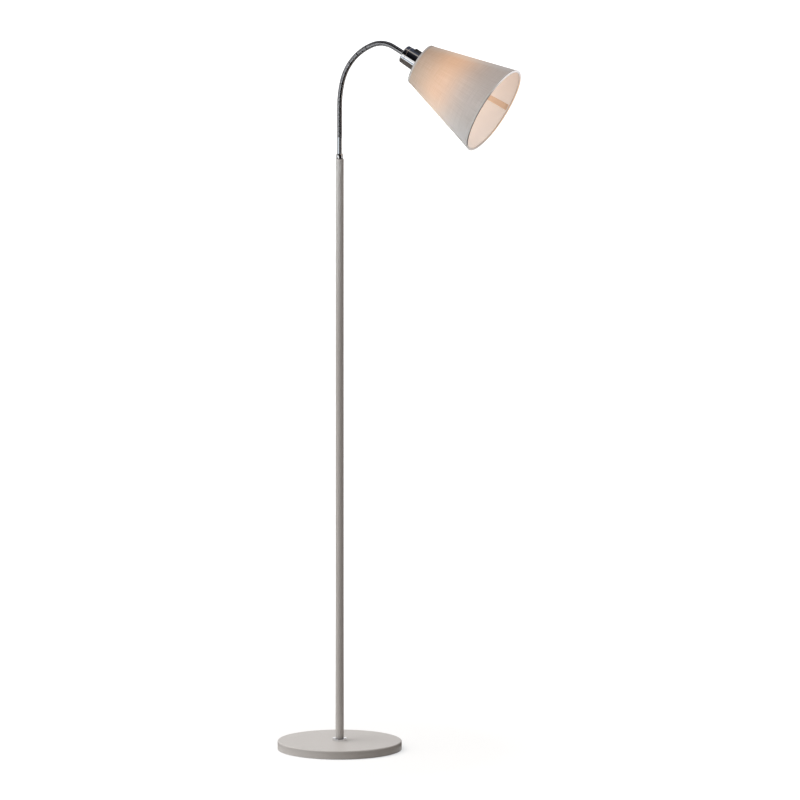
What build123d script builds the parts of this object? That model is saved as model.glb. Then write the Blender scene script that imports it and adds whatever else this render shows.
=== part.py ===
from build123d import *
import os
from math import atan2, cos, degrees, radians, sin, sqrt, tan

# A floor lamp for reading: a round weighted base, a pole of three tubes, a wound gooseneck that bends
# anywhere, and a head with a flared bright cup, a rocker switch and a cloth shade over a small screw bulb.
# Sizes are in mm. Z is up, the origin is the centre of the base's underside, and the neck and the head lie
# in the XZ plane, reaching towards +X.

# ---- base ----
BASE_DIAMETER = 240.0
BASE_HEIGHT = 17.5          # floor to the cover's top face
COVER_WALL = 1.2
COVER_EDGE_RADIUS = 2.6
SKIRT_LIFT = 0.9            # floor to the cover's lower edge
PAD_THICKNESS = 1.5
PAD_INSET = 4.0             # cover's outside to the pad's outside
WEIGHT_CLEARANCE = 0.25     # weight's rim to the cover
RECESS_DIAMETER = 34.0      # pocket for nut and washer under the weight
RECESS_DEPTH = 11.7
WASHER_DIAMETER = 24.0
WASHER_THICKNESS = 1.2
NUT_THICKNESS = 3.0
STUD_END = 0.3              # stud below the nut
INLET_HEIGHT = 7.2          # floor to the centre of the flex inlet
INLET_DIAMETER = 8.0        # hole in the cover's skirt
GROMMET_LENGTH = 6.0
GROMMET_LIP = 1.2
GROMMET_BEND = 0.3          # room behind the skirt for its curve

# ---- threads and fits ----
STUD_DIAMETER = 10.0        # hollow lamp thread, used at the foot, the pole's top and the head
STUD_BORE = 6.4
NUT_ACROSS_FLATS = 14.0
THREAD_CLEARANCE = 0.1      # on the radius
FIT = 0.05                  # clearance of a seated round part, on the radius
PAST = 1.0                  # how far a cut reaches past the face that it opens

# ---- pole ----
POLE_DIAMETER = 16.0
POLE_WALL = 1.0
POLE_SECTION = 380.4        # length of each of the three tubes
SEAM_CHAMFER = 0.5
JOINER_LENGTH = 40.0
JOINER_BORE = 8.0
FOOT_BUSH_LENGTH = 24.0
TOP_BUSH_LENGTH = 22.0
STUD_IN_POLE = 20.0         # thread inside the foot bush and the top bush
FLANGE_DIAMETER = 28.0
FLANGE_HEIGHT = 5.0
FLANGE_EDGE = 1.4
COLLAR_HEIGHT = 10.0
COLLAR_DIAMETER = 14.8      # at its round belly
COLLAR_FOOT_DIAMETER = 12.8
COLLAR_TOP_DIAMETER = 12.0

# ---- gooseneck ----
FERRULE_DIAMETER = 11.2
FERRULE_LENGTH = 32.6
SPIGOT_DIAMETER = 6.2       # ferrule end inside the wound neck
SPIGOT_LENGTH = 7.0
SPIGOT_BORE = 5.2
NECK_DIAMETER = 10.4        # over the crests of the winding
NECK_VALLEY_DEPTH = 0.45
NECK_BORE = 6.4
COIL_PITCH = 2.4
COIL_RISE = 0.55            # along the neck, from valley to crest
COIL_CREST = 0.9
NECK_RISER = 60.0           # straight stretch above the ferrule
NECK_LOWER_RADIUS = 211.6   # three arcs, foot to head, with their turns in degrees
NECK_LOWER_TURN = 13.7
NECK_MIDDLE_RADIUS = 111.3
NECK_MIDDLE_TURN = 52.8
NECK_UPPER_RADIUS = 51.3
NECK_UPPER_TURN = 51.0
NECK_RUN = 22.5             # straight stretch behind the head
NECK_JOINTS = 12
BALL_SHRINK = 0.05          # ball end's radius below the valley's
SOCKET_CLEARANCE = 0.3
LINK_END_VALLEY = 1.3       # plain length before each ball end

# ---- flex inside the lamp ----
FLEX_DIAMETER = 4.6
FLEX_PAD_CLEARANCE = 0.3
FLEX_FOOT_RADIUS = 4.5      # tight turn under the stud
FLEX_SLOPE_START = 26.0     # from the base's rear, where it starts to dip from the inlet to the pad
FLEX_SLOPE_END = 62.0
FLEX_SLOPE_RADIUS = 60.0
FLEX_IN_HEAD = 9.0          # flex past the rear of the cup
CHANNEL_CLEARANCE = 0.6

# ---- cup and lampholder, along the head's axis from the cup's rear ----
SHOULDER_DIAMETER = 12.4
SHOULDER_LENGTH = 1.5
HEAD_THREAD_LENGTH = 7.0
CUP_DIAMETER = 36.4         # at the rear
CUP_FLARE = 2.7             # half-angle in degrees
CUP_WALL = 0.8
CUP_EDGE_RADIUS = 3.0
CAP_LENGTH = 9.0
CAP_SPIGOT = 4.0            # cap's lip inside the sleeve
CUP_SEAM_CHAMFER = 0.4      # each side of the line between cap and sleeve
CUP_LENGTH = 43.5
CUP_FLANGE_BORE = 29.0      # sleeve's inward flange at its front
HOLDER_REAR = 32.5
HOLDER_DIAMETER = 24.0
HOLDER_COLLAR_DIAMETER = 31.0
HOLDER_COLLAR = 4.0
HOLDER_THREAD_DIAMETER = 28.4
HOLDER_FRONT = 62.5
HOLDER_FLOOR = 4.5
SHELL_DIAMETER = 15.8       # screw shell that grips the bulb's cap
SHELL_WALL = 0.8
SHELL_LENGTH = 23.0
CONTACT_THICKNESS = 0.5
CONTACT_WIDTH = 4.0
CONTACT_REACH = 7.0
SCREW_DIAMETER = 3.0
SCREW_HEAD_DIAMETER = 5.0
SCREW_HEAD_HEIGHT = 1.8
SCREW_SLOT = 0.7
SCREW_LENGTH = 3.5
SCREW_SPACING = 13.0
CARRIER_THICKNESS = 1.5
CARRIER_DIAMETER = 44.0
CARRIER_ARM_DIAMETER = 2.4
CARRIER_ARMS = 3
CARRIER_ARM_ANGLE = 60.0    # first arm, round the axis from the head's upper side
SHADE_NUT_DIAMETER = 38.0
SHADE_NUT_LENGTH = 6.0
SHADE_NUT_NOTCH = 1.2
SHADE_NUT_NOTCHES = 12

# ---- rocker switch on the cup ----
SWITCH_CENTRE = 24.5        # along the head's axis
SWITCH_LENGTH = 13.6
SWITCH_WIDTH = 8.6
SWITCH_DEPTH = 10.0
BEZEL_BORDER = 1.3
BEZEL_PROUD = 1.2           # above the cup's surface
ROCKER_RADIUS = 5.9         # its ends are round about the pin
ROCKER_WIDTH = 6.4
ROCKER_GAP = 0.35
ROCKER_TOP = 3.3            # pin to the rocker's raised ends
ROCKER_DISH = 0.7
ROCKER_FLOOR = 1.6          # pin to the rocker's underside
ROCKER_TILT = 9.0           # degrees, each way from level
PIN_DIAMETER = 1.6
PIN_CLEARANCE = 0.05        # on the radius, in the rocker
PIN_FIT = 0.02              # on the radius, in the bezel
PIN_INSET = 0.1             # each end of the pin inside the bezel's side

# ---- bulb ----
BULB_DIAMETER = 45.0
BULB_LENGTH = 72.0
BULB_TIP = 40.5             # its contact, along the head's axis
BULB_TIP_HEIGHT = 1.5
BULB_TIP_DIAMETER = 6.0
BULB_CAP_DIAMETER = 13.8
BULB_CAP_LENGTH = 23.0
CAP_SHOULDER = 2.5          # insulated end of the bulb's cap, below its thread
CAP_THREADS = 6
CAP_THREAD_PITCH = 2.8
CAP_THREAD_DEPTH = 0.5
CAP_STEP = 1.0
GLASS_IN_CAP = 4.0          # length of glass inside the cap
BULB_NECK_DIAMETER = 12.6
BULB_WAIST_ANGLE = -48.0    # where the round glass turns into its waist, from its widest line
BULB_GLASS = 0.7
STEM_DIAMETER = 3.0         # glass stem inside the bulb
FILAMENT_DIAMETER = 1.5
FILAMENT_LENGTH = 26.0
FILAMENT_SPREAD = 8.0
FILAMENTS = 4
FILAMENT_PLATE = 1.5

# ---- shade ----
SHADE_START = 39.5          # its top rim, along the head's axis
SHADE_LENGTH = 173.5
SHADE_TOP_DIAMETER = 83.2
SHADE_BOTTOM_DIAMETER = 180.2
CLOTH_THICKNESS = 0.5
LINER_THICKNESS = 0.5
LAYER_GAP = 0.05
RING_WIRE = 2.6
TRIM_WIDTH = 4.0
TRIM_THICKNESS = 0.45
SEAM_WIDTH = 9.0
SEAM_THICKNESS = 0.5
SEAM_GAP = 0.25             # strip to the lining
SEAM_END_GAP = 1.0          # seam's ends to the ring wires
SEAM_ANGLE = -98.0          # round the axis, from the shade's upper side

# ---- worked out ----
WEIGHT_TOP = BASE_HEIGHT - COVER_WALL
THREAD_HOLE_RADIUS = STUD_DIAMETER / 2 + THREAD_CLEARANCE
RECESS_ROOF = PAD_THICKNESS + RECESS_DEPTH
WASHER_BOTTOM = RECESS_ROOF - WASHER_THICKNESS
NUT_BOTTOM = WASHER_BOTTOM - NUT_THICKNESS
STUD_BOTTOM = NUT_BOTTOM - STUD_END
POLE_RADIUS = POLE_DIAMETER / 2
POLE_BORE_RADIUS = POLE_RADIUS - POLE_WALL
POLE_TOP = BASE_HEIGHT + 3 * POLE_SECTION
FERRULE_BOTTOM = POLE_TOP + COLLAR_HEIGHT
NECK_BOTTOM = FERRULE_BOTTOM + FERRULE_LENGTH
CREST_RADIUS = NECK_DIAMETER / 2
VALLEY_RADIUS = CREST_RADIUS - NECK_VALLEY_DEPTH
BALL_RADIUS = VALLEY_RADIUS - BALL_SHRINK
SOCKET_RADIUS = BALL_RADIUS + SOCKET_CLEARANCE
NECK_ARCS = (
    (NECK_LOWER_RADIUS, NECK_LOWER_TURN),
    (NECK_MIDDLE_RADIUS, NECK_MIDDLE_TURN),
    (NECK_UPPER_RADIUS, NECK_UPPER_TURN),
)
ARC_LENGTHS = [radius * radians(turn) for radius, turn in NECK_ARCS]
NECK_LENGTH = NECK_RISER + sum(ARC_LENGTHS) + NECK_RUN
JOINT_SPACING = NECK_LENGTH / NECK_JOINTS
FLEX_RADIUS = FLEX_DIAMETER / 2
FLEX_LOW = PAD_THICKNESS + FLEX_PAD_CLEARANCE + FLEX_RADIUS
SHADE_SLOPE = (SHADE_BOTTOM_DIAMETER - SHADE_TOP_DIAMETER) / 2 / SHADE_LENGTH
LINER_INSET = CLOTH_THICKNESS + LAYER_GAP
INSIDE_INSET = LINER_INSET + LINER_THICKNESS + LAYER_GAP


# ---- the neck's centre line ----
def neck_stretches():
    """Start and end length, radius (None where straight), start point and start angle of each stretch."""
    stretches = [(-NECK_BOTTOM, NECK_RISER, None, (0.0, 0.0), 0.0)]
    x, z, angle, along = 0.0, NECK_BOTTOM + NECK_RISER, 0.0, NECK_RISER
    for (radius, turn), length in zip(NECK_ARCS, ARC_LENGTHS):
        stretches.append((along, along + length, radius, (x, z), angle))
        end = angle + radians(turn)
        x += radius * (cos(angle) - cos(end))
        z += radius * (sin(end) - sin(angle))
        angle = end
        along += length
    stretches.append((along, along + NECK_RUN + CUP_LENGTH, None, (x, z), angle))
    return stretches


STRETCHES = neck_stretches()


def neck_point(along):
    """Centre point and angle from vertical at a length along the neck, counted from the ferrule's top."""
    start, _, radius, (x, z), angle = [s for s in STRETCHES if s[0] <= along + 1e-9][-1]
    run = along - start
    if radius is None:
        return Vector(x + run * sin(angle), 0, z + run * cos(angle)), angle
    end = angle + run / radius
    return Vector(x + radius * (cos(angle) - cos(end)), 0, z + radius * (sin(end) - sin(angle))), end


def neck_plane(along):
    """Plane across the neck, facing the head, with a steady x axis."""
    point, angle = neck_point(along)
    return Plane(origin=point, x_dir=(0, 1, 0), z_dir=(sin(angle), 0, cos(angle)))


def neck_edges(low, high):
    """The centre line between two lengths, as lines and arcs that meet in line."""
    edges = []
    for start, end, radius, _, _ in STRETCHES:
        a = max(low, start)
        b = min(high, end)
        if b - a < 1e-6:
            continue
        first = neck_point(a + 1e-9)[0]
        last = neck_point(b - 1e-9)[0]
        if radius is None:
            edges.append(Line(first, last))
        else:
            edges.append(ThreePointArc(first, neck_point((a + b) / 2)[0], last))
    return edges


HEAD_POINT, HEAD_ANGLE = neck_point(NECK_LENGTH + SHOULDER_LENGTH)
# the head's own frame: z along its axis towards the shade's mouth, x towards its upper side
HEAD = Plane(
    origin=HEAD_POINT,
    x_dir=(-cos(HEAD_ANGLE), 0, sin(HEAD_ANGLE)),
    z_dir=(sin(HEAD_ANGLE), 0, cos(HEAD_ANGLE)),
)


# ---- plain shapes ----
def turned(*outline):
    """A solid of revolution about Z from (radius, height) points."""
    face = make_face(Plane.XZ * Polyline(*outline, close=True))
    return revolve(face, Axis.Z)


def tube(radius, bore_radius, bottom, top):
    """A plain tube about Z."""
    return turned((bore_radius, bottom), (radius, bottom), (radius, top), (bore_radius, top))


def disc(radius, bottom, top):
    """A plain cylinder about Z."""
    return extrude(Pos(0, 0, bottom) * Circle(radius), top - bottom)


def block(x_range, y_range, z_range):
    """A box between three pairs of coordinates."""
    size = [b - a for a, b in (x_range, y_range, z_range)]
    middle = [(a + b) / 2 for a, b in (x_range, y_range, z_range)]
    return Pos(*middle) * Box(*size)


def hex_nut(bottom, thickness):
    """A lamp-thread nut about Z."""
    outline = RegularPolygon(NUT_ACROSS_FLATS / 2, 6, major_radius=False)
    blank = extrude(Pos(0, 0, bottom) * outline, thickness)
    return blank - disc(THREAD_HOLE_RADIUS, bottom - PAST, bottom + thickness + PAST)


def outer_edges(shape, height):
    """The circular edge with the largest radius at a height."""
    rings = [e for e in shape.edges().filter_by(GeomType.CIRCLE) if abs(e.center().Z - height) < 1e-6]
    return [max(rings, key=lambda e: e.radius)]


# ---- base ----
def base_cover():
    radius = BASE_DIAMETER / 2
    shell = disc(radius, SKIRT_LIFT, BASE_HEIGHT)
    shell = fillet(outer_edges(shell, BASE_HEIGHT), COVER_EDGE_RADIUS)
    inside = disc(radius - COVER_WALL, 0, WEIGHT_TOP)
    inside = fillet(outer_edges(inside, WEIGHT_TOP), COVER_EDGE_RADIUS - COVER_WALL)
    hole = disc(THREAD_HOLE_RADIUS, WEIGHT_TOP - PAST, BASE_HEIGHT + PAST)
    return shell - inside - hole - inlet_bar(INLET_DIAMETER / 2 + FIT)


def inlet_bar(radius):
    """A bar through the rear of the skirt, on the line of the flex inlet."""
    length = 2 * GROMMET_LENGTH
    bar = Rotation(0, 90, 0) * Cylinder(radius, length)
    return Pos(-BASE_DIAMETER / 2, 0, INLET_HEIGHT) * bar


def base_weight():
    radius = BASE_DIAMETER / 2 - COVER_WALL - WEIGHT_CLEARANCE
    weight = disc(radius, PAD_THICKNESS, WEIGHT_TOP)
    weight = fillet(outer_edges(weight, WEIGHT_TOP), COVER_EDGE_RADIUS)
    weight -= disc(THREAD_HOLE_RADIUS, 0, BASE_HEIGHT)
    weight -= disc(RECESS_DIAMETER / 2, 0, RECESS_ROOF)
    half = FLEX_RADIUS + CHANNEL_CLEARANCE
    weight -= block((-BASE_DIAMETER / 2, 0), (-half, half), (0, INLET_HEIGHT + half))
    pocket = INLET_DIAMETER / 2 + GROMMET_LIP + FIT
    pocket_end = -BASE_DIAMETER / 2 + GROMMET_LENGTH + FIT
    return weight - block((-BASE_DIAMETER / 2, pocket_end), (-pocket, pocket), (0, INLET_HEIGHT + pocket))


def base_pad():
    """A soft disc glued under the weight, which also closes the recess and the flex's channel."""
    return disc(BASE_DIAMETER / 2 - PAD_INSET, 0, PAD_THICKNESS)


def inlet_grommet():
    """A soft bush through the skirt, with a rounded lip outside and a lip inside."""
    hole = INLET_DIAMETER / 2
    lip = hole + GROMMET_LIP
    bore = FLEX_RADIUS + FIT
    inside = COVER_WALL + GROMMET_BEND
    outline = [(bore, -GROMMET_LIP), (hole, -GROMMET_LIP), (lip, -GROMMET_LIP / 3), (lip, 0), (hole, 0)]
    outline += [(hole, inside), (lip, inside), (lip, inside + GROMMET_LIP), (hole, inside + GROMMET_LIP)]
    outline += [(hole, GROMMET_LENGTH), (bore, GROMMET_LENGTH)]
    bush = Pos(-BASE_DIAMETER / 2, 0, INLET_HEIGHT) * Rotation(0, 90, 0) * turned(*outline)
    return bush - skirt_ring()


def skirt_ring():
    """The skirt's curved wall with a little room, to seat the grommet's lips on it."""
    radius = BASE_DIAMETER / 2
    return tube(radius + FIT, radius - COVER_WALL - FIT, 0, BASE_HEIGHT) - inlet_bar(INLET_DIAMETER / 2)


def base_washer():
    return tube(WASHER_DIAMETER / 2, THREAD_HOLE_RADIUS, WASHER_BOTTOM, RECESS_ROOF)


def base_nut():
    return hex_nut(NUT_BOTTOM, NUT_THICKNESS)


def base_stud():
    return tube(STUD_DIAMETER / 2, STUD_BORE / 2, STUD_BOTTOM, BASE_HEIGHT + STUD_IN_POLE)


def foot_flange():
    radius = FLANGE_DIAMETER / 2
    ring = tube(radius, POLE_RADIUS + FIT, BASE_HEIGHT, BASE_HEIGHT + FLANGE_HEIGHT)
    return fillet(outer_edges(ring, BASE_HEIGHT + FLANGE_HEIGHT), FLANGE_EDGE)


# ---- pole ----
def pole_tube(number):
    """One of the three tubes, its seam ends chamfered outside."""
    bottom = BASE_HEIGHT + number * POLE_SECTION
    top = bottom + POLE_SECTION
    cut = SEAM_CHAMFER
    low = cut if number > 0 else 0
    outline = [(POLE_BORE_RADIUS, bottom), (POLE_RADIUS - low, bottom)]
    if low:
        outline.append((POLE_RADIUS, bottom + low))
    outline += [(POLE_RADIUS, top - cut), (POLE_RADIUS - cut, top), (POLE_BORE_RADIUS, top)]
    return turned(*outline)


def bush(bottom, top, bore_radius):
    """A plug that fits the pole's bore."""
    return tube(POLE_BORE_RADIUS - FIT, bore_radius, bottom, top)


def pole_joiner(number):
    seam = BASE_HEIGHT + number * POLE_SECTION
    return bush(seam - JOINER_LENGTH / 2, seam + JOINER_LENGTH / 2, JOINER_BORE / 2)


def neck_collar():
    """A round-bellied ring on top of the pole."""
    bore = THREAD_HOLE_RADIUS
    foot = (COLLAR_FOOT_DIAMETER / 2, 0)
    belly = (COLLAR_DIAMETER / 2, COLLAR_HEIGHT / 2)
    crown = (COLLAR_TOP_DIAMETER / 2, COLLAR_HEIGHT)
    edges = [Line((bore, 0), foot), ThreePointArc(foot, belly, crown)]
    edges += [Line(crown, (bore, COLLAR_HEIGHT)), Line((bore, COLLAR_HEIGHT), (bore, 0))]
    return Pos(0, 0, POLE_TOP) * revolve(make_face(Plane.XZ * Wire(edges)), Axis.Z)


# ---- gooseneck ----
def neck_foot_ferrule():
    bore = SPIGOT_BORE / 2
    thread_bottom = POLE_TOP - STUD_IN_POLE
    return turned(
        (bore, thread_bottom), (STUD_DIAMETER / 2, thread_bottom), (STUD_DIAMETER / 2, FERRULE_BOTTOM),
        (FERRULE_DIAMETER / 2, FERRULE_BOTTOM), (FERRULE_DIAMETER / 2, NECK_BOTTOM),
        (SPIGOT_DIAMETER / 2, NECK_BOTTOM), (SPIGOT_DIAMETER / 2, NECK_BOTTOM + SPIGOT_LENGTH),
        (bore, NECK_BOTTOM + SPIGOT_LENGTH),
    )


def coil_sections(low, high, start_plain, end_plain):
    """(length along the neck, radius) of the circles of a stretch: whole ribs between plain ends."""
    room = high - low - start_plain - end_plain
    ribs = int(room / COIL_PITCH + 1e-6)
    first = low + start_plain + (room - ribs * COIL_PITCH) / 2
    foot = (COIL_PITCH - COIL_CREST) / 2 - COIL_RISE
    sections = [(low, VALLEY_RADIUS)]
    for rib in range(ribs):
        base = first + rib * COIL_PITCH + foot
        sections += [
            (base, VALLEY_RADIUS),
            (base + COIL_RISE, CREST_RADIUS),
            (base + COIL_RISE + COIL_CREST, CREST_RADIUS),
            (base + 2 * COIL_RISE + COIL_CREST, VALLEY_RADIUS),
        ]
    return sections + [(high, VALLEY_RADIUS)]


def neck_stretch(low, high, socket, ball):
    """A ribbed stretch of the wound neck. A ball end turns inside the next stretch's socket end."""
    lip = sqrt(SOCKET_RADIUS ** 2 - VALLEY_RADIUS ** 2)
    start_plain = lip if socket else 0
    end_plain = LINK_END_VALLEY if ball else 0
    sections = coil_sections(low, high, start_plain, end_plain)
    body = loft([neck_plane(along) * Circle(radius) for along, radius in sections], ruled=True)
    if ball:
        body += Pos(*neck_point(high)[0]) * Sphere(BALL_RADIUS)
    if socket:
        body -= Pos(*neck_point(low)[0]) * Sphere(SOCKET_RADIUS)
    past = 2 * CREST_RADIUS
    first = neck_plane(low)
    last = neck_plane(high)
    ends = [Line(first.origin - first.z_dir * past, first.origin)]
    ends += neck_edges(low, high)
    ends += [Line(last.origin, last.origin + last.z_dir * past)]
    start = Plane(origin=first.origin - first.z_dir * past, x_dir=first.x_dir, z_dir=first.z_dir)
    return body - sweep(start * Circle(NECK_BORE / 2), path=Wire(ends))


def neck_pieces():
    """The wound neck from foot to head: a fixed stretch at each end and the links between."""
    stations = [(i + 0.5) * JOINT_SPACING for i in range(NECK_JOINTS)]
    pieces = {"neck_foot_coil": neck_stretch(0, stations[0], False, True)}
    for i in range(1, NECK_JOINTS):
        pieces[f"neck_link_{i:02d}"] = neck_stretch(stations[i - 1], stations[i], True, True)
    pieces["neck_head_coil"] = neck_stretch(stations[-1], NECK_LENGTH, True, False)
    return pieces


def neck_head_ferrule():
    """Threaded end of the neck: a spigot in the winding, a shoulder behind the cup and a thread in it."""
    bore = SPIGOT_BORE / 2
    return turned(
        (bore, -SHOULDER_LENGTH - SPIGOT_LENGTH), (SPIGOT_DIAMETER / 2, -SHOULDER_LENGTH - SPIGOT_LENGTH),
        (SPIGOT_DIAMETER / 2, -SHOULDER_LENGTH), (SHOULDER_DIAMETER / 2, -SHOULDER_LENGTH),
        (SHOULDER_DIAMETER / 2, 0), (STUD_DIAMETER / 2, 0), (STUD_DIAMETER / 2, HEAD_THREAD_LENGTH),
        (bore, HEAD_THREAD_LENGTH),
    )


def mains_flex():
    """The flex from the inlet through base, pole and neck to the cup, as runs joined by tangent arcs."""
    rear = -BASE_DIAMETER / 2
    corners = [
        (rear - GROMMET_LIP, 0, INLET_HEIGHT), (rear + FLEX_SLOPE_START, 0, INLET_HEIGHT),
        (rear + FLEX_SLOPE_END, 0, FLEX_LOW),
        (0, 0, FLEX_LOW), (0, 0, NECK_BOTTOM),
    ]
    foot = FilletPolyline(*corners, radius=[FLEX_SLOPE_RADIUS, FLEX_SLOPE_RADIUS, FLEX_FOOT_RADIUS])
    neck = neck_edges(0, NECK_LENGTH + SHOULDER_LENGTH + FLEX_IN_HEAD)
    path = Wire(list(foot.edges()) + neck)
    start = Plane(origin=corners[0], x_dir=(0, 1, 0), z_dir=(1, 0, 0))
    return sweep(start * Circle(FLEX_RADIUS), path=path)


# ---- head, in its own frame ----
def cup_radius(height):
    """Outside radius of the cup at a length along the head's axis."""
    return CUP_DIAMETER / 2 + height * tan(radians(CUP_FLARE))


def cup_rear_cap():
    wall = CUP_WALL
    edge = CUP_EDGE_RADIUS
    slide = FIT + wall
    cut = CUP_SEAM_CHAMFER
    outside = turned(
        (0, 0), (cup_radius(0), 0), (cup_radius(CAP_LENGTH - cut), CAP_LENGTH - cut),
        (cup_radius(CAP_LENGTH) - cut, CAP_LENGTH), (0, CAP_LENGTH),
    )
    outside = fillet(outer_edges(outside, 0), edge)
    inside = turned(
        (0, wall), (cup_radius(wall) - wall, wall),
        (cup_radius(CAP_LENGTH + PAST) - wall, CAP_LENGTH + PAST), (0, CAP_LENGTH + PAST),
    )
    inside = fillet(outer_edges(inside, wall), edge - wall)
    root = CAP_LENGTH - CAP_SPIGOT
    tip = CAP_LENGTH + CAP_SPIGOT
    lip = turned(
        (cup_radius(root) - slide - wall, root), (cup_radius(root) - wall / 2, root),
        (cup_radius(CAP_LENGTH) - slide, CAP_LENGTH), (cup_radius(tip) - slide, tip),
        (cup_radius(tip) - slide - wall, tip),
    )
    hole = disc(THREAD_HOLE_RADIUS, -PAST, wall + PAST)
    return (outside - inside) + lip - hole


def cup_sleeve():
    wall = CUP_WALL
    front = CUP_LENGTH
    cut = CUP_SEAM_CHAMFER
    sleeve = turned(
        (cup_radius(CAP_LENGTH) - wall, CAP_LENGTH), (cup_radius(CAP_LENGTH) - cut, CAP_LENGTH),
        (cup_radius(CAP_LENGTH + cut), CAP_LENGTH + cut),
        (cup_radius(front), front), (CUP_FLANGE_BORE / 2, front), (CUP_FLANGE_BORE / 2, front - wall),
        (cup_radius(front - wall) - wall, front - wall),
    )
    low = SWITCH_CENTRE - SWITCH_LENGTH / 2 - FIT
    high = SWITCH_CENTRE + SWITCH_LENGTH / 2 + FIT
    half = SWITCH_WIDTH / 2 + FIT
    return sleeve - block((0, CUP_DIAMETER), (-half, half), (low, high))


def neck_lock_nut():
    return hex_nut(CUP_WALL, NUT_THICKNESS)


def lampholder_body():
    """Moulded holder: a collar behind the cup's flange, a threaded skirt and a cavity for the bulb."""
    collar_front = CUP_LENGTH - CUP_WALL
    collar_rear = collar_front - HOLDER_COLLAR
    floor = HOLDER_REAR + HOLDER_FLOOR
    cavity = SHELL_DIAMETER / 2 + FIT
    body = turned(
        (0, HOLDER_REAR), (HOLDER_DIAMETER / 2, HOLDER_REAR), (HOLDER_DIAMETER / 2, collar_rear),
        (HOLDER_COLLAR_DIAMETER / 2, collar_rear), (HOLDER_COLLAR_DIAMETER / 2, collar_front),
        (HOLDER_THREAD_DIAMETER / 2, collar_front), (HOLDER_THREAD_DIAMETER / 2, HOLDER_FRONT),
        (cavity, HOLDER_FRONT), (cavity, floor), (0, floor),
    )
    for side in (-1, 1):
        hole = disc(SCREW_DIAMETER / 2 + FIT, HOLDER_REAR - PAST, HOLDER_REAR + SCREW_LENGTH + FIT)
        body -= Pos(0, side * SCREW_SPACING / 2, 0) * hole
    return body


def lampholder_shell():
    floor = HOLDER_REAR + HOLDER_FLOOR
    radius = SHELL_DIAMETER / 2
    return tube(radius, radius - SHELL_WALL, floor, floor + SHELL_LENGTH)


def centre_contact():
    """A bent spring strip from the holder's floor up to the bulb's tip."""
    floor = HOLDER_REAR + HOLDER_FLOOR
    thick = CONTACT_THICKNESS
    reach = CONTACT_REACH / 2
    rise = BULB_TIP - floor
    outline = Polyline(
        (-reach, 0), (reach, 0), (reach, thick), (thick - reach, thick), (thick, rise - thick),
        (reach, rise - thick), (reach, rise), (0, rise), (-reach, thick), close=True,
    )
    strip = extrude(make_face(Plane.XZ * outline), CONTACT_WIDTH / 2, both=True)
    return Pos(0, 0, floor) * strip


def terminal_screws():
    """Two screws with their slotted heads on the holder's rear face."""
    screws = []
    top = HOLDER_REAR - SCREW_HEAD_HEIGHT
    half = SCREW_SLOT / 2
    for side in (-1, 1):
        head = disc(SCREW_HEAD_DIAMETER / 2, top, HOLDER_REAR)
        across = (-SCREW_HEAD_DIAMETER, SCREW_HEAD_DIAMETER)
        slot = block(across, (-half, half), (top - PAST, top + SCREW_SLOT))
        shank = disc(SCREW_DIAMETER / 2, HOLDER_REAR, HOLDER_REAR + SCREW_LENGTH)
        screws.append(Pos(0, side * SCREW_SPACING / 2, 0) * (head - slot + shank))
    return Compound(children=screws)


def shade_nut():
    """A ring screwed on the holder's skirt, with finger notches down its side."""
    bottom = CUP_LENGTH + CARRIER_THICKNESS
    top = bottom + SHADE_NUT_LENGTH
    ring = tube(SHADE_NUT_DIAMETER / 2, HOLDER_THREAD_DIAMETER / 2 + THREAD_CLEARANCE, bottom, top)
    notch = Pos(SHADE_NUT_DIAMETER / 2, 0, 0) * disc(SHADE_NUT_NOTCH, bottom + SHADE_NUT_NOTCH, top + PAST)
    for i in range(SHADE_NUT_NOTCHES):
        ring -= Rotation(0, 0, i * 360 / SHADE_NUT_NOTCHES) * notch
    return ring


# ---- rocker switch, in the head's frame ----
PIN_HEIGHT = cup_radius(SWITCH_CENTRE) + BEZEL_PROUD - ROCKER_TOP + ROCKER_DISH
SWITCH_TOP = PIN_HEIGHT - ROCKER_RADIUS - ROCKER_GAP


def switch_body():
    """The block under the rocker, with a round hollow in which the rocker's foot swings."""
    low = SWITCH_CENTRE - SWITCH_LENGTH / 2
    high = SWITCH_CENTRE + SWITCH_LENGTH / 2
    half = SWITCH_WIDTH / 2
    top = PIN_HEIGHT - PIN_DIAMETER
    body = block((SWITCH_TOP - SWITCH_DEPTH / 2, top), (-half, half), (low, high))
    swing = Pos(PIN_HEIGHT, 0, SWITCH_CENTRE) * Rotation(90, 0, 0) * Cylinder(
        ROCKER_RADIUS + ROCKER_GAP, ROCKER_WIDTH + 2 * ROCKER_GAP)
    return body - swing


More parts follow.
